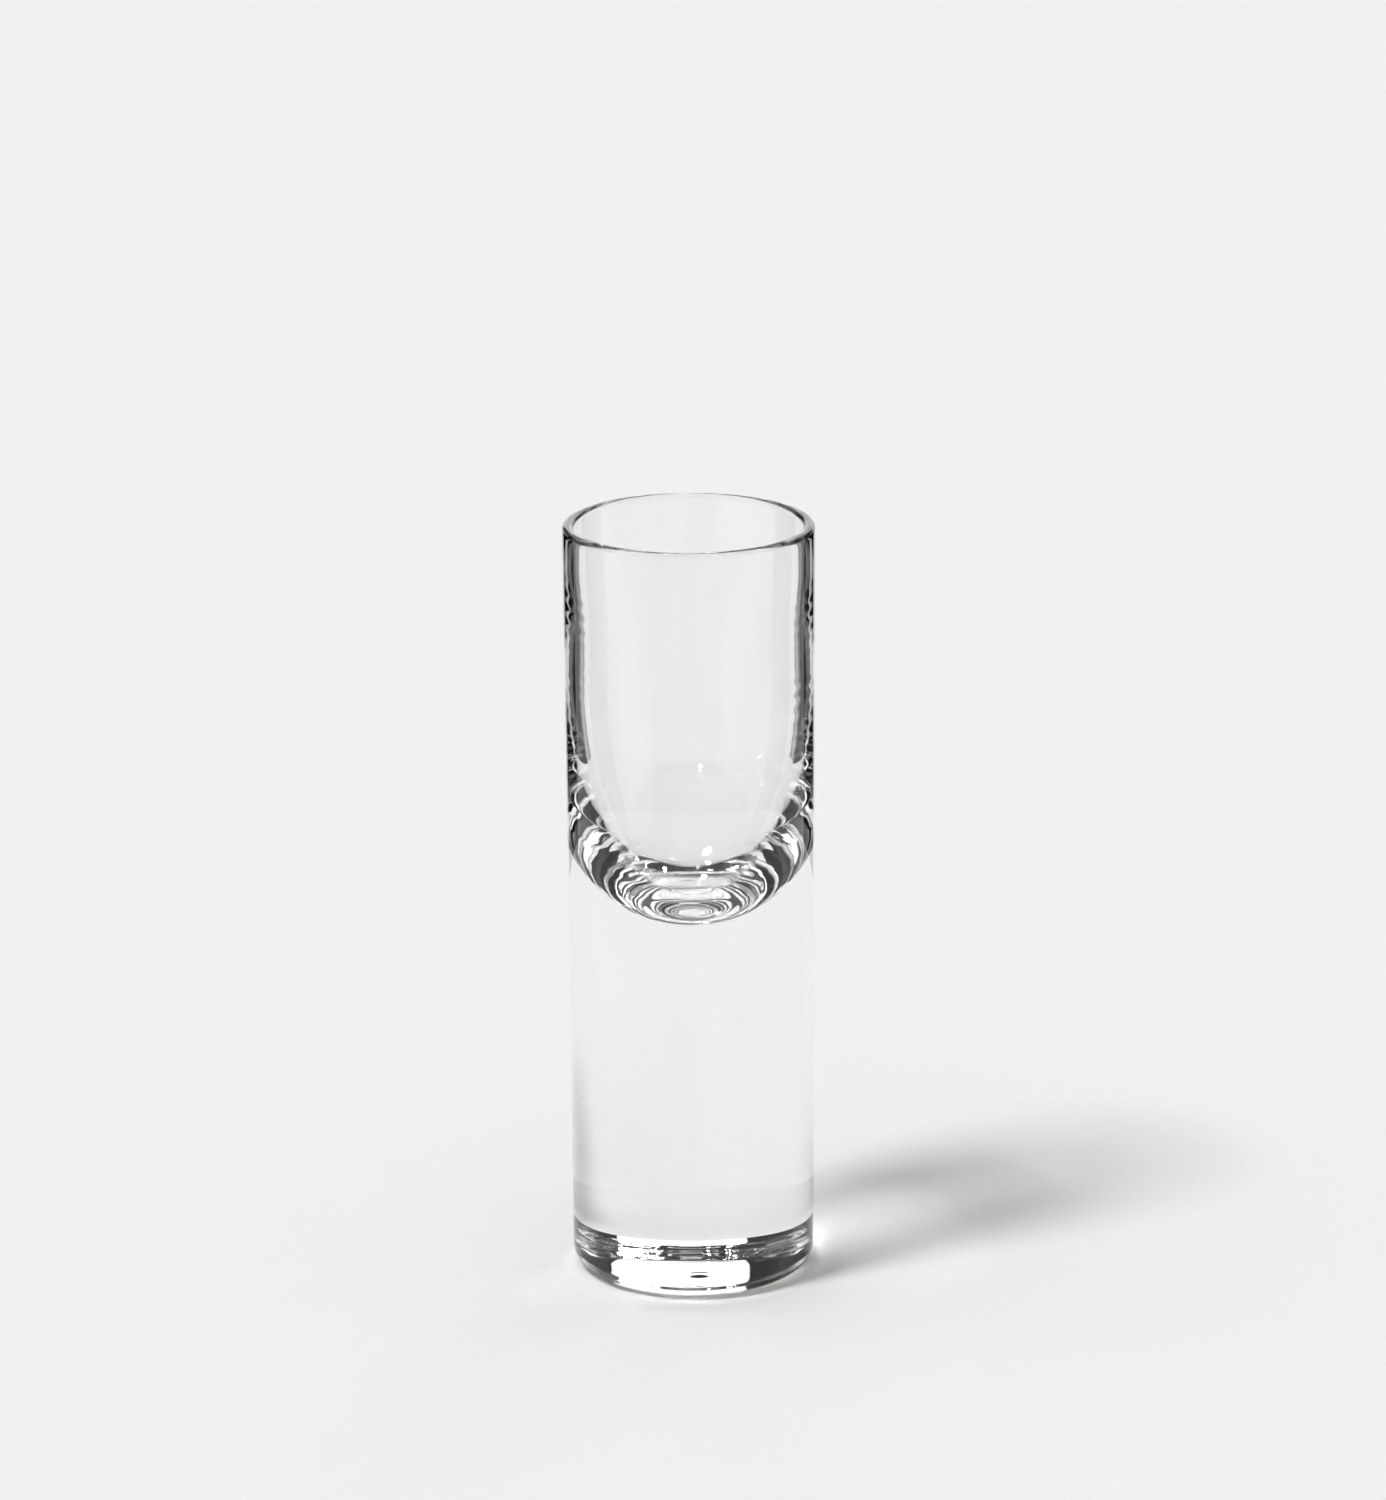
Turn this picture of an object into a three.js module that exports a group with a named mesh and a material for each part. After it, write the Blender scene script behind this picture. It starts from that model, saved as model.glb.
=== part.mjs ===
// Vodka glass: a straight tall tumbler of clear glass, made in one piece.
// The upper half is a drinking bowl with a thin wall and a round bottom.
// The lower half is a solid foot, which gives the glass its weight.
// Millimetres, +Z up, origin at the middle of the resting ring.

import * as THREE from 'three';

// Outside, which narrows a little from the rim to the foot
const HEIGHT = 124;
const RIM_DIAMETER = 40;
const FOOT_NARROWER_BY = 1;
const FOOT_EDGE_RADIUS = 3.5;

// Bowl, measured down from the lip
const BOWL_DEPTH = 64.5;
const BOWL_ROUNDING_HEIGHT = 27;
const BOWL_NOSE_REACH = 9.6;
const BOWL_SHOULDER_DROP = 13;
const WALL = 1.55;

// Lip, fire polished; the wall thickens towards it
const LIP_THICKNESS = 1.85;
const LIP_TAPER_HEIGHT = 30;

// Underside, ground a little hollow so that the glass stands on a ring
const RESTING_RING_WIDTH = 3;
const HOLLOW_DEPTH = 0.15;

// Facets
const FACETS_AROUND = 72;
const HOLLOW_STEPS = 4;
const EDGE_STEPS = 6;
const LIP_STEPS = 6;
const TAPER_STEPS = 4;
const BOWL_STEPS = 16;

const rimRadius = RIM_DIAMETER / 2;
const footRadius = (RIM_DIAMETER - FOOT_NARROWER_BY) / 2;
const ringRadius = footRadius - FOOT_EDGE_RADIUS;
const innerRadius = rimRadius - WALL;
const bowlBottom = HEIGHT - BOWL_DEPTH;

// An arc in the section plane, where x is the distance from the axis and y the height.
function arc(x, y, radius, fromDegrees, toDegrees, steps) {
  const from = THREE.MathUtils.degToRad(fromDegrees);
  const to = THREE.MathUtils.degToRad(toDegrees);
  const curve = new THREE.EllipseCurve(x, y, radius, radius, from, to, to < from);
  return curve.getPoints(steps);
}

// The hollow under the foot is a shallow piece of a sphere, from its middle out to its rim.
function hollowUnderFoot() {
  const rim = ringRadius - RESTING_RING_WIDTH;
  const sphereRadius = (rim * rim + HOLLOW_DEPTH * HOLLOW_DEPTH) / (2 * HOLLOW_DEPTH);
  const halfAngle = THREE.MathUtils.radToDeg(Math.asin(rim / sphereRadius));
  const points = arc(0, HOLLOW_DEPTH - sphereRadius, sphereRadius, 90, 90 - halfAngle, HOLLOW_STEPS);
  points[0].x = 0;
  points[HOLLOW_STEPS].y = 0;
  return points;
}

// The edge between the resting ring and the outside wall.
function footEdge() {
  return arc(ringRadius, FOOT_EDGE_RADIUS, FOOT_EDGE_RADIUS, -90, 0, EDGE_STEPS);
}

// The lip is a half round, from the outside wall over to the inside wall.
function lip() {
  const radius = LIP_THICKNESS / 2;
  return arc(rimRadius - radius, HEIGHT - radius, radius, 0, 180, LIP_STEPS);
}

// Below the lip the wall eases to its own thickness.
function lipTaper() {
  const top = new THREE.Vector2(rimRadius - LIP_THICKNESS, HEIGHT - LIP_THICKNESS / 2);
  const bottom = new THREE.Vector2(innerRadius, HEIGHT - LIP_TAPER_HEIGHT);
  const middle = (top.y + bottom.y) / 2;
  const ease = new THREE.CubicBezierCurve(
    top,
    new THREE.Vector2(top.x, middle),
    new THREE.Vector2(bottom.x, middle),
    bottom,
  );
  return ease.getPoints(TAPER_STEPS).slice(1);
}

// The round bottom of the bowl: a bullet shape that leaves the wall upright and meets the axis level.
function bowl() {
  const wallEnd = bowlBottom + BOWL_ROUNDING_HEIGHT;
  const curve = new THREE.CubicBezierCurve(
    new THREE.Vector2(innerRadius, wallEnd),
    new THREE.Vector2(innerRadius, wallEnd - BOWL_SHOULDER_DROP),
    new THREE.Vector2(BOWL_NOSE_REACH, bowlBottom),
    new THREE.Vector2(0, bowlBottom),
  );
  return curve.getPoints(BOWL_STEPS);
}

// The section runs from the axis under the foot, up the outside, over the lip and down the bowl.
function glassBody() {
  const section = [hollowUnderFoot(), footEdge(), lip(), lipTaper(), bowl()].flat();
  const geometry = new THREE.LatheGeometry(section, FACETS_AROUND);
  geometry.rotateX(Math.PI / 2);
  const clearGlass = new THREE.MeshStandardMaterial({
    color: 0xf4f6f5,
    roughness: 0.02,
    metalness: 0,
    transparent: true,
    opacity: 0.3,
  });
  const mesh = new THREE.Mesh(geometry, clearGlass);
  mesh.name = 'glass_body';
  return mesh;
}

const vodkaGlass = new THREE.Group();
vodkaGlass.add(glassBody());

export default vodkaGlass;
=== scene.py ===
# %% [markdown]
# A vodka glass in clear glass
#
# The object is a tall straight tumbler. Its upper half is a drinking bowl with a thin wall, and its
# lower half is solid glass. It is one piece: a gather of glass with a bubble in it, cut at the top,
# polished in a flame and ground flat below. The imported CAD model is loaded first, because it fixes the
# size and place of all that follows.

import math

import bpy
import numpy as np
from mathutils import Matrix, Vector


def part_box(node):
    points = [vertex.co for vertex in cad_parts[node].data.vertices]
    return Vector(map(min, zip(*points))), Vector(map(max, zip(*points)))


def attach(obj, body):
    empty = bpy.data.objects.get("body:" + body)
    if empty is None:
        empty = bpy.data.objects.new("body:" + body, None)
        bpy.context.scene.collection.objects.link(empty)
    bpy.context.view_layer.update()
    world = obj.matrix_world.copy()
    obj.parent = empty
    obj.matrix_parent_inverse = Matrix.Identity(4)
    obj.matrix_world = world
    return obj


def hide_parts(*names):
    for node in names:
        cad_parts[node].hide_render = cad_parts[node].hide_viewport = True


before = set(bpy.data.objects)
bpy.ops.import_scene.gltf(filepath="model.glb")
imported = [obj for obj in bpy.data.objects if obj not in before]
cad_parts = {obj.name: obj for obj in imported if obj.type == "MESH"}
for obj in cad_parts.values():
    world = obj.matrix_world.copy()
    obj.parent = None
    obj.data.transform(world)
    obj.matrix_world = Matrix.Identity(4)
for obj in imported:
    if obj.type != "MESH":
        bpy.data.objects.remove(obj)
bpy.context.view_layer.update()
scene = bpy.context.scene
MM = 0.001
low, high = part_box("glass_body")
outer_radius = (high.x - low.x) / 2
height = high.z - low.z
print(f"frame: {outer_radius * 2 / MM:.2f} mm across, {height / MM:.2f} mm tall")

# %% [markdown]
# Camera
#
# A long lens looks down on the glass from a little above. Its distance, tilt, roll and focal length
# were worked out from the outline of the glass in the photograph: rim and foot are two circles of known
# size, and how flat each one looks tells how far down the lens points. A guess by eye would never let
# the two pictures overlap.

# %% Place the camera
IMAGE_HEIGHT_PIXELS = 1500
FOCAL_PIXELS = 7000
SENSOR_HEIGHT = 36.0
CAMERA_PLACE = (0.39 * MM, -1072.3 * MM, 399.4 * MM)
CAMERA_TILT = math.radians(16.267)
CAMERA_ROLL = math.radians(-0.334)
CLIP_START = 0.01

lens = bpy.data.cameras.new("camera")
lens.sensor_fit = "VERTICAL"
lens.sensor_height = SENSOR_HEIGHT
lens.lens = FOCAL_PIXELS / IMAGE_HEIGHT_PIXELS * SENSOR_HEIGHT
lens.clip_start = CLIP_START
camera = bpy.data.objects.new("camera", lens)
scene.collection.objects.link(camera)
look_down = Matrix.Rotation(math.pi / 2 - CAMERA_TILT, 4, "X")
camera.matrix_world = Matrix.Translation(CAMERA_PLACE) @ look_down @ Matrix.Rotation(CAMERA_ROLL, 4, "Z")
scene.camera = camera
print(f"camera: {lens.lens:.0f} mm lens, looking {math.degrees(CAMERA_TILT):.1f} degrees down")

# %% [markdown]
# Curves for the section
#
# A turned shape is known once its half section is known, so most of the drawing happens in a flat
# plane. Three kinds of curve are enough for this glass: arcs, straight lines, and a cubic curve for the
# places where one thickness eases into another. Each is a numpy function, so a finer mesh needs only a
# larger number of steps.


# %% Arc, line and cubic curve
def arc(centre, radius, start, end, steps):
    """Points of a circle: centre plus radius times (cosine, sine) of an angle from start to end degrees."""
    angle = np.radians(np.linspace(start, end, steps))
    return np.stack([centre[0] + radius * np.cos(angle), centre[1] + radius * np.sin(angle)], axis=1)


def line(start, end, steps):
    """Points between two ends, without the ends: start plus an even share of the way to end."""
    share = np.linspace(0, 1, steps + 2)[1:-1, None]
    return np.array(start) * (1 - share) + np.array(end) * share


def cubic(a, b, c, d, steps):
    """Cubic curve: the four points weighted by (1-t)^3, 3t(1-t)^2, 3t^2(1-t) and t^3."""
    t = np.linspace(0, 1, steps)[:, None]
    a, b, c, d = (np.array(point) for point in (a, b, c, d))
    return a * (1 - t) ** 3 + 3 * b * t * (1 - t) ** 2 + 3 * c * t**2 * (1 - t) + d * t**3


print(f"curves: a quarter arc of radius 1 ends at {arc((0, 0), 1, 0, 90, 5)[-1].round(3)}")

# %% [markdown]
# The section of the glass
#
# The section starts on the axis under the foot, runs up the outside, over the lip and down into the
# bowl, and ends on the axis again. The bowl is the part that shows most: a bullet shape that leaves the
# wall upright and meets the axis level. Here the wall thickens on its way down and the bowl narrows
# earlier than in the CAD model, by up to a millimetre and a half. Both are seen through glass, and
# could only be judged against the photograph once the render bent light the same way. The outside is
# the same.

# %% Sizes of the section
FOOT_NARROWER_BY = 1 * MM
FOOT_EDGE_RADIUS = 3.5 * MM
RESTING_RING_WIDTH = 3 * MM
HOLLOW_DEPTH = 0.15 * MM
WALL = 2.4 * MM
LIP_THICKNESS = 1.85 * MM
LIP_TAPER_HEIGHT = 24 * MM
BOWL_DEPTH = 64.7 * MM
BOWL_ROUNDING_HEIGHT = 38 * MM
BOWL_NOSE_REACH = 15.3 * MM
BOWL_SHOULDER_DROP = 14 * MM

foot_radius = outer_radius - FOOT_NARROWER_BY / 2
ring_radius = foot_radius - FOOT_EDGE_RADIUS
hollow_radius = ring_radius - RESTING_RING_WIDTH
inner_radius = outer_radius - WALL
bowl_bottom = height - BOWL_DEPTH
lip_radius = LIP_THICKNESS / 2
lip_low = height - lip_radius
print(f"bowl: bottom {bowl_bottom / MM:.1f} mm above the table, {inner_radius * 2 / MM:.1f} mm wide inside")

# %% Underside, outside and lip
HOLLOW_STEPS = 50
RING_STEPS = 12
EDGE_STEPS = 36
OUTSIDE_STEPS = 20
LIP_STEPS = 17


def hollow_under_foot(steps):
    """A shallow piece of a sphere from axis to ring, of radius (r^2 + d^2) / 2d for rim r and depth d."""
    sphere = (hollow_radius**2 + HOLLOW_DEPTH**2) / (2 * HOLLOW_DEPTH)
    half = math.degrees(math.asin(hollow_radius / sphere))
    return arc((0, HOLLOW_DEPTH - sphere), sphere, 90, 90 - half, steps)


outside_stretches = {
    "hollow": hollow_under_foot(HOLLOW_STEPS),
    "ring": line((hollow_radius, 0), (ring_radius, 0), RING_STEPS),
    "edge": arc((ring_radius, FOOT_EDGE_RADIUS), FOOT_EDGE_RADIUS, -90, 0, EDGE_STEPS),
    "outside": line((foot_radius, FOOT_EDGE_RADIUS), (outer_radius, lip_low), OUTSIDE_STEPS),
    "lip": arc((outer_radius - lip_radius, lip_low), lip_radius, 0, 180, LIP_STEPS),
}
print(f"outside: resting ring from {hollow_radius / MM:.1f} to {ring_radius / MM:.1f} mm off the axis")

# %% Inside wall and bowl
TAPER_STEPS = 31
WALL_STEPS = 16
BOWL_STEPS = 90

taper_top = (outer_radius - LIP_THICKNESS, lip_low)
taper_low = (inner_radius, height - LIP_TAPER_HEIGHT)
taper_middle = (taper_top[1] + taper_low[1]) / 2
under_lip = (taper_top[0], taper_middle)
above_wall = (inner_radius, taper_middle)
wall_end = (inner_radius, bowl_bottom + BOWL_ROUNDING_HEIGHT)
shoulder = (inner_radius, wall_end[1] - BOWL_SHOULDER_DROP)
nose = (BOWL_NOSE_REACH, bowl_bottom)
inside_stretches = {
    "taper": cubic(taper_top, under_lip, above_wall, taper_low, TAPER_STEPS)[1:],
    "inside": line(taper_low, wall_end, WALL_STEPS),
    "bowl": cubic(wall_end, shoulder, nose, (0, bowl_bottom), BOWL_STEPS),
}
stretches = {**outside_stretches, **inside_stretches}
outline = np.concatenate(list(stretches.values()))
stretch = np.concatenate([np.full(len(points), name) for name, points in stretches.items()])
print(f"section: {len(outline)} points in {len(stretches)} stretches")

# %% [markdown]
# Marks of making
#
# Glass made by hand is never quite even, and clear glass shows it, because a wave of a hundredth of a
# millimetre already bends what is seen behind it. The inside wall keeps a fine spiral from turning on
# the iron, and the bowl keeps faint level rings. A bump in the material would tilt the light without
# moving the surface, and would be lost when the mesh is exported. Here the points themselves move: the
# marks are sums of sine waves that are added to the surface along its normal.


# %% Waves
def smooth(value, low, high):
    """0 below low, 1 above high, and 3t^2 - 2t^3 of the share t between them."""
    t = np.clip((value - low) / (high - low), 0, 1)
    return t * t * (3 - 2 * t)


def waves(x, y, lengths, headings):
    """The mean of plane waves sin(2 pi (x cos h + y sin h) / length + 5h), one for each heading h."""
    h = np.array(headings)[:, None, None]
    lengths = np.array(lengths)[:, None, None]
    return np.sin(2 * np.pi * (x * np.cos(h) + y * np.sin(h)) / lengths + 5 * h).mean(axis=0)


print(f"waves: half way up a smooth step is {smooth(0.5, 0, 1):.2f}")

# %% Marks on the inside wall
SPIRAL_PITCH = 2.4 * MM
SPIRAL_DEPTH = 0.015 * MM
RING_PITCH = 2.9 * MM
RING_DEPTH = 0.0045 * MM
LIP_FADE = (3 * MM, 16 * MM)
SPIRAL_FADE = (28 * MM, 40 * MM)
RING_FADE = (40 * MM, 52 * MM)
NOSE_FADE = (0.5 * MM, 3 * MM)


def inside_marks(rows, angle):
    """A sine spiral along the wall, made stronger and weaker by slow swells round the glass, then level
    rings of two sine waves in the bowl. Both fade out at the lip, and at the nose of the bowl."""
    r, z = rows[:, 0, None], rows[:, 1, None]
    depth = height - z
    way = np.concatenate([[0], np.cumsum(np.hypot(*np.diff(rows, axis=0).T))])[:, None]
    drift = 1.2 * np.sin(angle + 0.7) + 0.5 * np.sin(3 * angle + 12 * z / height)
    spiral = np.sin(2 * np.pi * way / SPIRAL_PITCH + angle + drift)
    swell = 0.55 + 0.45 * np.sin(angle + 9 * z / height) * np.sin(3 * angle - 14 * z / height + 1)
    level = 2 * np.pi * way / RING_PITCH + 0.5 * np.sin(angle + 0.7)
    rings = (np.sin(level) + 0.6 * np.sin(1.7 * level + 1)) * (0.8 + 0.2 * np.sin(2 * angle + 0.4))
    on_wall = 1 - smooth(depth, *SPIRAL_FADE)
    in_bowl = smooth(depth, *RING_FADE)
    fade = smooth(depth, *LIP_FADE) * smooth(r, *NOSE_FADE)
    return fade * (SPIRAL_DEPTH * spiral * swell * on_wall + RING_DEPTH * rings * in_bowl)


print(f"inside marks: spiral {SPIRAL_DEPTH / MM:.3f} mm deep, rings {RING_DEPTH / MM:.4f} mm deep")

# %% [markdown]
# The ground underside
#
# The foot was ground on a wheel, which leaves circles and small uneven places, and the iron that held
# the glass left a shallow dent when it was broken off. All three show from above as broken rings in the
# solid foot. They are cut into the glass and never stand out of it, so the glass still rests on its
# ring.

# %% Marks under the foot
GROUND_DEPTH = 0.010 * MM
GROUND_WAVES = np.array([2.1, 2.7, 3.4, 1.7, 4.6]) * MM
GROUND_HEADINGS = (0.3, 1.5, 2.6, 0.9, 2.1)
UNEVEN_START = (9 * MM, 14 * MM)
UNEVEN_TOP = (1.2 * MM, 3.2 * MM)
GROOVE_PITCH = 2.6 * MM
GROOVE_DEPTH = 0.015 * MM
GROOVE_START = (8 * MM, 9 * MM)
GROOVE_END = (ring_radius, ring_radius + 0.5 * MM)
PUNTY_PLACE = (0.6 * MM, -0.8 * MM)
PUNTY_RADIUS = 1.9 * MM
PUNTY_SQUEEZE = 0.75
PUNTY_DEPTH = 0.22 * MM


def ground_marks(x, y, z):
    """Plane waves on the ring and its round edge, plus a cosine groove at every groove pitch."""
    r = np.hypot(x, y)
    where = smooth(r, *UNEVEN_START) * (1 - smooth(z, *UNEVEN_TOP))
    uneven = (1 + waves(x, y, GROUND_WAVES, GROUND_HEADINGS)) / 2
    grooved = smooth(r, *GROOVE_START) * (1 - smooth(r, *GROOVE_END))
    groove = (1 + np.cos(2 * np.pi * r / GROOVE_PITCH)) / 2
    return GROUND_DEPTH * where * uneven + GROOVE_DEPTH * grooved * groove


def punty_mark(x, y):
    """The dent of the iron: depth times (1 - (d / radius)^2)^2, where d is the distance from its middle
    with y squeezed, so that the dent is longer along y."""
    d = np.hypot(x - PUNTY_PLACE[0], PUNTY_SQUEEZE * (y - PUNTY_PLACE[1]))
    return PUNTY_DEPTH * np.clip(1 - (d / PUNTY_RADIUS) ** 2, 0, None) ** 2


print(f"underside: grooves every {GROOVE_PITCH / MM:.1f} mm, dent {PUNTY_DEPTH / MM:.2f} mm deep")

# %% [markdown]
# Turning the section
#
# Every point of the section is carried round the axis. The two ends of the section are on the axis, so
# each becomes one vertex with a fan of triangles, and all the rest is a grid of four-sided faces.
# Blender's Screw modifier could turn the section too, but then the marks could not follow the angle
# round the glass.

# %% Points round the axis
STEPS_AROUND = 320
LEAN = -0.12 * MM
LEAN_FROM = 0.4


def turned(rows, names):
    """x = r cos(a), y = r sin(a), z = height, for each row (r, height) and each angle a, after the inside
    marks have moved the row along its normal. Then the underside is cut and the upper part leans."""
    angle = np.linspace(0, 2 * np.pi, STEPS_AROUND, endpoint=False)
    along = np.gradient(rows, axis=0)
    normal = np.stack([along[:, 1], -along[:, 0]], axis=1) / np.hypot(*along.T)[:, None]
    inner = np.isin(names, list(inside_stretches))
    shift = np.zeros((len(rows), STEPS_AROUND))
    shift[inner] = inside_marks(rows[inner], angle)
    r = rows[:, 0, None] + normal[:, 0, None] * shift
    z = rows[:, 1, None] + normal[:, 1, None] * shift
    x, y = r * np.cos(angle), r * np.sin(angle)
    under = np.isin(names, ("hollow", "ring", "edge"))[:, None]
    z = z + np.where(under, ground_marks(x, y, z) + punty_mark(x, y), 0)
    x = x + LEAN * smooth(z, LEAN_FROM * height, height)
    grid = np.stack([x, y, z], axis=-1)
    ends = np.stack([grid[0].mean(axis=0), grid[-1].mean(axis=0)])
    return np.concatenate([grid[1:-1].reshape(-1, 3), ends])


glass_points = turned(outline, stretch)
print(f"points: {len(glass_points)}, lowest {glass_points[:, 2].min() / MM:.3f} mm")


# %% Faces and the finished piece
def faces_around(levels):
    """Quads between neighbouring levels and angles, then a fan of triangles at each end."""
    here = np.arange(STEPS_AROUND)
    after = (here + 1) % STEPS_AROUND
    level = np.arange(levels - 1)[:, None] * STEPS_AROUND
    above = level + STEPS_AROUND
    quads = np.stack([level + here, level + after, above + after, above + here], axis=-1)
    last = (levels - 1) * STEPS_AROUND
    low_pole = np.full(STEPS_AROUND, levels * STEPS_AROUND)
    fan_low = np.stack([low_pole, after, here], axis=-1)
    fan_high = np.stack([low_pole + 1, last + here, last + after], axis=-1)
    return quads.reshape(-1, 4).tolist() + fan_low.tolist() + fan_high.tolist()


glass_mesh = bpy.data.meshes.new("clear_glass_body")
glass_mesh.from_pydata(glass_points.tolist(), [], faces_around(len(outline) - 2))
glass_mesh.shade_smooth()
glass = bpy.data.objects.new("clear_glass_body", glass_mesh)
scene.collection.objects.link(glass)
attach(glass, "root")
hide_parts("glass_body")
print(f"glass: {len(glass_mesh.polygons)} faces in one closed piece")

# %% [markdown]
# Small node helpers
#
# Materials and the studio are both built from nodes, and most of those nodes do plain arithmetic. Two
# helpers keep that short: one does a sum with a Math node, the other turns a value into a soft step.
# Each takes the node tree that it works in, so the same two serve every material and the world.


# %% Arithmetic in a node tree
def calc(tree, kind, a, b=0.0):
    """A Math node of the given kind, on two numbers or sockets."""
    node = tree.nodes.new("ShaderNodeMath")
    node.operation = kind
    for socket, value in zip(node.inputs, (a, b)):
        if isinstance(value, (int, float)):
            socket.default_value = value
        else:
            tree.links.new(value, socket)
    return node.outputs[0]


def soft_step(tree, value, start, end):
    """0 at start and 1 at end, with a smooth run between; start may be the larger one."""
    node = tree.nodes.new("ShaderNodeMapRange")
    node.interpolation_type = "SMOOTHSTEP"
    tree.links.new(value, node.inputs["Value"])
    node.inputs["From Min"].default_value = start
    node.inputs["From Max"].default_value = end
    return node.outputs["Result"]


print("node helpers: calc for sums, soft_step for edges")

# %% [markdown]
# Clear glass
#
# The glass lets all light through and bends it as common soda-lime glass does, so most of its look
# comes from the shape above. Two things vary over it. Faint streaks in the melt make it a few
# hundredths darker in places, along the axis. The circles ground under the foot are a little rough,
# with ragged edges, and nearly black: painted contact shade, for the little light that reaches the
# table where the ring presses on it. Both are worked out from the place in the part, so they stay
# with the glass from every side.

# %% Glass with its streaks
GLASS_IOR = 1.5
STREAK_LOW = 0.95
STREAK_SCALE = (140, 140, 25)
STREAK_DETAIL = 1.0
STREAK_NOISE = (0.3, 0.7)

clear_glass = bpy.data.materials.new("clear_glass")
clear_glass.use_nodes = True
glass_mesh.materials.append(clear_glass)
melt = clear_glass.node_tree
shader = melt.nodes["Principled BSDF"]
shader.inputs["IOR"].default_value = GLASS_IOR
shader.inputs["Transmission Weight"].default_value = 1.0
place = melt.nodes.new("ShaderNodeTexCoord").outputs["Object"]


def cloud(scale, detail):
    """Cloudy noise of the place in the part, from 0 to 1, squeezed by one scale for each axis."""
    squeeze = melt.nodes.new("ShaderNodeVectorMath")
    squeeze.operation = "MULTIPLY"
    melt.links.new(place, squeeze.inputs[0])
    squeeze.inputs[1].default_value = scale
    noise = melt.nodes.new("ShaderNodeTexNoise")
    noise.inputs["Scale"].default_value = 1.0
    noise.inputs["Detail"].default_value = detail
    melt.links.new(squeeze.outputs["Vector"], noise.inputs["Vector"])
    return noise.outputs["Fac"]


streaks = melt.nodes.new("ShaderNodeMapRange")
melt.links.new(cloud(STREAK_SCALE, STREAK_DETAIL), streaks.inputs["Value"])
streaks.inputs["From Min"].default_value = STREAK_NOISE[0]
streaks.inputs["From Max"].default_value = STREAK_NOISE[1]
streaks.inputs["To Min"].default_value = STREAK_LOW
streaks.inputs["To Max"].default_value = 1.0
print(f"clear glass: bends light by {GLASS_IOR}, streaks from {STREAK_LOW} to 1")

# %% Circles ground under the foot, with painted contact shade
RING_RAGGED = 0.3 * MM
RAGGED_SCALE = (900, 900, 900)
RAGGED_DETAIL = 3.0
# Nearly black: painted contact shade on the ground circles, where the ring presses on the table.
CONTACT_SHADE_TINT = 0.03
GROUND_ROUGH = 0.05
GROUND_FROM = 8.5 * MM
GROUND_EDGE = 0.4 * MM
GROUND_HEIGHT = 0.3 * MM
HEIGHT_EDGE = 0.1 * MM
GROOVE_EDGE = (-0.1, 0.2)

axes = melt.nodes.new("ShaderNodeSeparateXYZ")
melt.links.new(place, axes.inputs[0])
square_x = calc(melt, "MULTIPLY", axes.outputs["X"], axes.outputs["X"])
square_y = calc(melt, "MULTIPLY", axes.outputs["Y"], axes.outputs["Y"])
from_axis = calc(melt, "SQRT", calc(melt, "ADD", square_x, square_y))
either_way = calc(melt, "SUBTRACT", cloud(RAGGED_SCALE, RAGGED_DETAIL), 0.5)
ragged = calc(melt, "ADD", from_axis, calc(melt, "MULTIPLY", either_way, RING_RAGGED))
groove = calc(melt, "COSINE", calc(melt, "MULTIPLY", ragged, 2 * math.pi / GROOVE_PITCH))
outward = soft_step(melt, from_axis, GROUND_FROM - GROUND_EDGE, GROUND_FROM)
inward = soft_step(melt, from_axis, ring_radius + GROUND_EDGE, ring_radius)
near_table = soft_step(melt, axes.outputs["Z"], GROUND_HEIGHT + HEIGHT_EDGE, GROUND_HEIGHT)
in_ring = calc(melt, "MULTIPLY", calc(melt, "MULTIPLY", outward, inward), near_table)
# Mask of the ground circles: they get rougher glass, and the painted contact shade as their colour.
ground_and_contact_shade = calc(melt, "MULTIPLY", soft_step(melt, groove, *GROOVE_EDGE), in_ring)
print(f"ground circles: from {GROUND_FROM / MM:.1f} to {ring_radius / MM:.1f} mm off the axis")

# %% Join the streaks and the painted contact shade into the glass
polished_part = calc(melt, "MULTIPLY", streaks.outputs["Result"], calc(melt, "SUBTRACT", 1.0, ground_and_contact_shade))
# The ground circles take the painted contact shade as their colour; the rest keeps the streaks.
grey = calc(melt, "ADD", polished_part, calc(melt, "MULTIPLY", ground_and_contact_shade, CONTACT_SHADE_TINT))
tint = melt.nodes.new("ShaderNodeCombineColor")
for channel in ("Red", "Green", "Blue"):
    melt.links.new(grey, tint.inputs[channel])
melt.links.new(tint.outputs["Color"], shader.inputs["Base Color"])
melt.links.new(calc(melt, "MULTIPLY", ground_and_contact_shade, GROUND_ROUGH), shader.inputs["Roughness"])
print(f"clear glass: {len(melt.nodes)} nodes, tint {CONTACT_SHADE_TINT} and roughness {GROUND_ROUGH} where ground")

# %% [markdown]
# Floor
#
# The glass stands on a plain pale sheet without an edge in sight. It lies a hair below the resting
# ring, so the two surfaces never share a plane and no black specks appear where they meet. It is stage,
# not part of the object.

# %% Pale floor
FLOOR_HALF = 4.0
FLOOR_GREY = 0.85
FLOOR_Z = -0.03 * MM


def card(name, corners, grey):
    """A flat matt stage piece with the given corners."""
    mesh = bpy.data.meshes.new(name)
    mesh.from_pydata(corners, [], [tuple(range(len(corners)))])
    piece = bpy.data.objects.new(name, mesh)
    scene.collection.objects.link(piece)
    paint = bpy.data.materials.new(name)
    paint.use_nodes = True
    matt = paint.node_tree.nodes["Principled BSDF"]
    matt.inputs["Base Color"].default_value = (grey, grey, grey, 1)
    matt.inputs["Roughness"].default_value = 1.0
    matt.inputs["Specular IOR Level"].default_value = 0.0
    mesh.materials.append(paint)
    return piece


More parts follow.
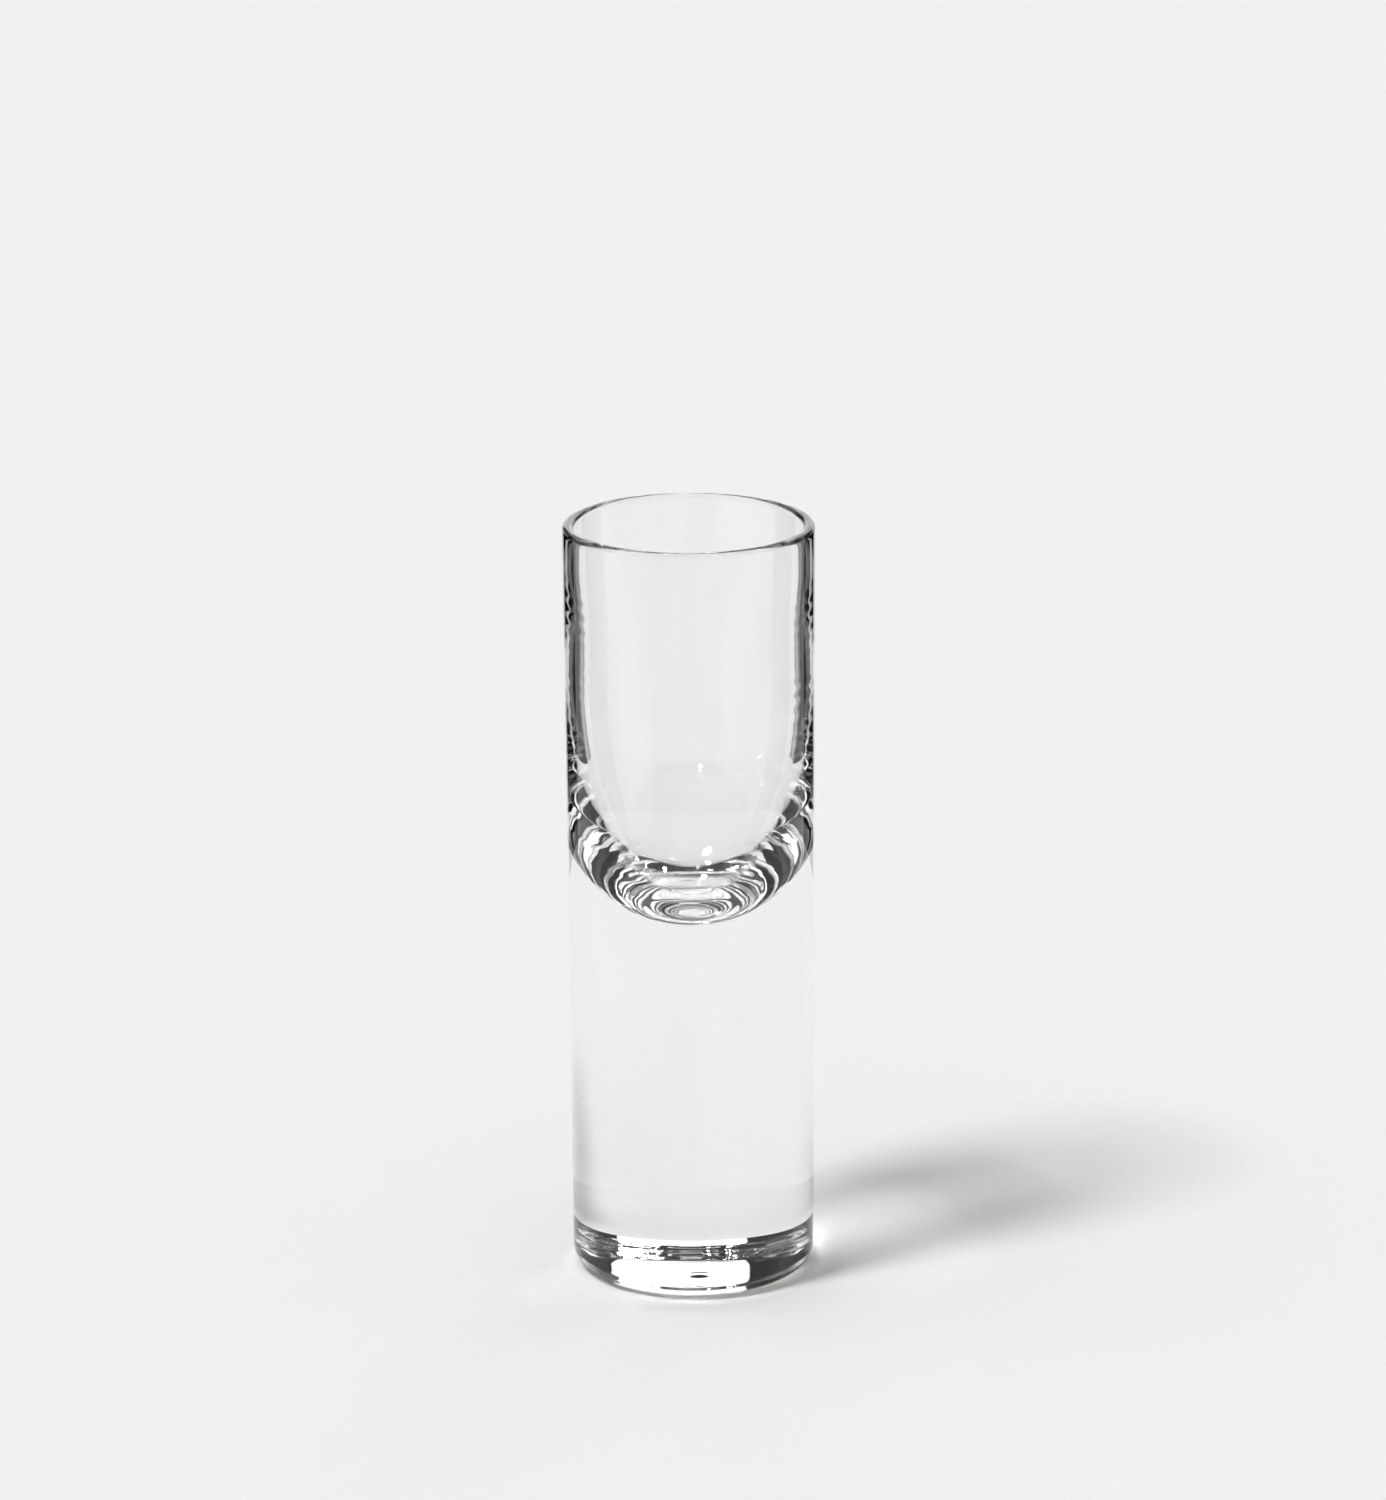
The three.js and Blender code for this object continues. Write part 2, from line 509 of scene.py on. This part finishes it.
floor_signs = ((-1, -1), (1, -1), (1, 1), (-1, 1))
floor = card("floor", [(x * FLOOR_HALF, y * FLOOR_HALF, FLOOR_Z) for x, y in floor_signs], FLOOR_GREY)
print(f"floor: {FLOOR_HALF * 2:.0f} m square, grey {FLOOR_GREY}")

# %% [markdown]
# Black flags
#
# A photographer sets black cards beside a glass, out of the picture, so that its edges turn dark against
# a white ground. Only the glass sees them here: they are hidden from the lens and throw no shadow. Each
# card is a slanted four-sided shape, because light that slips along the thin wall leaves it at a slant.

# %% Flags beside the glass
FLAG_GREY = 0.03
FLAG_X = 57 * MM
FLAG_NEAR = 25 * MM
FLAG_FAR = 105 * MM
FLAG_LOWS = (58 * MM, 30 * MM)
FLAG_TOPS = (123 * MM, 100 * MM)


def flag(name, x, near, far, lows, tops):
    """An upright card at x, from near to far along Y, with a low and a top height at each of those ends."""
    corners = [(x, near, lows[0]), (x, far, lows[1]), (x, far, tops[1]), (x, near, tops[0])]
    piece = card(name, corners, FLAG_GREY)
    piece.visible_camera = False
    piece.visible_diffuse = False
    piece.visible_shadow = False


for side, x in (("left", -FLAG_X), ("right", FLAG_X)):
    flag(f"flag_{side}", x, FLAG_NEAR, FLAG_FAR, FLAG_LOWS, FLAG_TOPS)
print(f"flags: one at each side, {FLAG_X / MM:.0f} mm off the axis")

# %% [markdown]
# Lamps
#
# The key is a soft sun from the front left. The rays that it sends through the glass gather into the
# bright lines inside the shadow, so it must be seen through the glass, but it is hidden from plain
# reflections. A wide sun from the same side softens the shadow. The fill lifts the floor to its pale
# tone without a shadow of its own.

# %% Key and soft light
KEY_ELEVATION = math.radians(57.5)
KEY_AZIMUTH = math.radians(215)
KEY_ANGLE = math.radians(11)
KEY_LIGHT = 1.75
SOFT_ANGLE = math.radians(80)
SOFT_LIGHT = 0.5

floor_only = bpy.data.collections.new("floor_only")
floor_only.objects.link(floor)


def sun(name, angle, light, turn):
    """A sun lamp of the given apparent width and strength, hidden from plain reflections."""
    lamp = bpy.data.lights.new(name, "SUN")
    lamp.angle = angle
    lamp.energy = light
    piece = bpy.data.objects.new(name, lamp)
    scene.collection.objects.link(piece)
    piece.matrix_world = turn
    piece.visible_glossy = False
    return piece


def for_floor_only(lamp):
    """Lets a lamp light the floor alone, and hides it in the glass."""
    lamp.light_linking.receiver_collection = floor_only
    lamp.visible_transmission = False


tip_over = Matrix.Rotation(math.pi / 2 - KEY_ELEVATION, 4, "X")
from_front_left = Matrix.Rotation(KEY_AZIMUTH + math.pi / 2, 4, "Z") @ tip_over
sun("key", KEY_ANGLE, KEY_LIGHT, from_front_left)
for_floor_only(sun("soft", SOFT_ANGLE, SOFT_LIGHT, from_front_left))
print(f"key: {math.degrees(KEY_ELEVATION):.1f} degrees up, {math.degrees(KEY_ANGLE):.0f} degrees wide")

# %% [markdown]
# Light under the foot
#
# The solid foot works like a lens: what one sees through it is the floor below, so that floor sets how
# light the foot looks. A round stop keeps the fill away from the floor under the foot, and a narrow
# spot from above lights it instead. The two together give the foot its own brightness without changing
# the floor around it.

# %% Fill, stop and spot
FILL_ANGLE = math.radians(90)
FILL_LIGHT = 1.09
STOP_RADIUS = 16.2 * MM
STOP_CORNERS = 64
POOL_RADIUS = 16 * MM
POOL_HEIGHT = 0.8
POOL_LIGHT = 14.0
POOL_BLEND = 0.3

fill = sun("fill", FILL_ANGLE, FILL_LIGHT, Matrix.Identity(4))
for_floor_only(fill)
stop_points = arc((0, 0), STOP_RADIUS, 0, 360, STOP_CORNERS + 1)[:-1]
fill_stop = card("fill_stop", [(x, y, FLOOR_Z / 2) for x, y in stop_points.tolist()], FLAG_GREY)
fill_stop.visible_camera = False
fill_stop.visible_diffuse = False
fill_stop.visible_glossy = False
fill_stop.visible_transmission = False
stops = bpy.data.collections.new("stops")
stops.objects.link(floor)
stops.objects.link(fill_stop)
fill.light_linking.blocker_collection = stops

pool_lamp = bpy.data.lights.new("pool", "SPOT")
pool_lamp.energy = POOL_LIGHT
pool_lamp.spot_size = 2 * math.atan(POOL_RADIUS / POOL_HEIGHT)
pool_lamp.spot_blend = POOL_BLEND
pool_lamp.shadow_soft_size = 0.0
pool = bpy.data.objects.new("pool", pool_lamp)
scene.collection.objects.link(pool)
pool.location = (0, 0, POOL_HEIGHT)
pool.light_linking.receiver_collection = floor_only
pool.light_linking.blocker_collection = floor_only
print(f"under the foot: stop {STOP_RADIUS / MM:.1f} mm and spot {POOL_RADIUS / MM:.1f} mm in radius")

# %% [markdown]
# The studio around the glass
#
# What the glass mirrors and bends is the room. It is dim, with one large white panel behind the glass
# and a narrow one beside it. A picture of a studio would do the same work, but two rectangles of light
# can be moved by changing one number. Each is worked out from the direction that a ray takes: how far
# it goes across and up for each metre ahead says whether it meets the panel.

# %% Rays and panels
LEAST_AHEAD = 0.001
BEHIND_EDGE = 0.01

world = bpy.data.worlds.new("studio")
scene.world = world
world.use_nodes = True
studio = world.node_tree
ray = studio.nodes.new("ShaderNodeTexCoord").outputs["Generated"]


def direction(azimuth, elevation):
    """The unit vector of an azimuth, from +Y towards +X, and an elevation, both in degrees."""
    a, e = math.radians(azimuth), math.radians(elevation)
    return (math.sin(a) * math.cos(e), math.cos(a) * math.cos(e), math.sin(e))


def share_along(axis):
    """How far a ray goes along an axis: the dot product of the two."""
    node = studio.nodes.new("ShaderNodeVectorMath")
    node.operation = "DOT_PRODUCT"
    studio.links.new(ray, node.inputs[0])
    node.inputs[1].default_value = axis
    return node.outputs["Value"]


def slope(axis, ahead):
    """How far a ray goes to either side along an axis, for each metre ahead."""
    return calc(studio, "ABSOLUTE", calc(studio, "DIVIDE", share_along(axis), ahead))


def panel(aim, half_size, edge):
    """A far rectangle of light: 1 inside and 0 outside. The aim is an azimuth and an elevation in degrees;
    half the width, half the height and the soft edge are shares of its distance."""
    azimuth, elevation = aim
    half_width, half_height = half_size
    forward = direction(azimuth, elevation)
    right = direction(azimuth + 90, 0)
    upward = tuple(np.cross(right, forward))
    depth = share_along(forward)
    ahead = calc(studio, "MAXIMUM", depth, LEAST_AHEAD)
    within_width = soft_step(studio, slope(right, ahead), half_width, half_width - edge)
    within_height = soft_step(studio, slope(upward, ahead), half_height, half_height - edge)
    inside = calc(studio, "MULTIPLY", within_width, within_height)
    return calc(studio, "MULTIPLY", inside, soft_step(studio, depth, 0.0, BEHIND_EDGE))


print(f"studio: straight behind the glass is {direction(0, 0)}")

# %% Light the studio
STUDIO_GREY = 0.004
PANEL_LIGHT = 1.25
PANEL_EDGE = 0.02
BACK_AIM = (5, 17)
BACK_HALF_SIZE = (0.444, 0.335)
STRIP_AIM = (29, 36)
STRIP_HALF_SIZE = (0.08, 0.45)

back_panel = panel(BACK_AIM, BACK_HALF_SIZE, PANEL_EDGE)
side_strip = panel(STRIP_AIM, STRIP_HALF_SIZE, PANEL_EDGE)
lit = calc(studio, "MULTIPLY", calc(studio, "MAXIMUM", back_panel, side_strip), PANEL_LIGHT)
background = studio.nodes["Background"]
background.inputs["Color"].default_value = (1, 1, 1, 1)
studio.links.new(calc(studio, "ADD", lit, STUDIO_GREY), background.inputs["Strength"])
print(f"studio: dim {STUDIO_GREY}, panels {PANEL_LIGHT}")

# %% [markdown]
# How light is followed
#
# A ray through this glass meets many surfaces before it is out again, so it is followed through more of
# them than is usual; with too few, the foot fills with black. The bright lines in the shadow are light
# that was bent on its way to the floor. Such light is often clamped or blurred to keep noise down, so
# both are switched off here.

# %% Bounces and view
GLASS_BOUNCES = 32

scene.view_settings.view_transform = "Standard"
scene.cycles.max_bounces = GLASS_BOUNCES
scene.cycles.glossy_bounces = GLASS_BOUNCES
scene.cycles.transmission_bounces = GLASS_BOUNCES
scene.cycles.sample_clamp_indirect = 0
scene.cycles.blur_glossy = 0
print(f"light: followed through up to {GLASS_BOUNCES} surfaces")
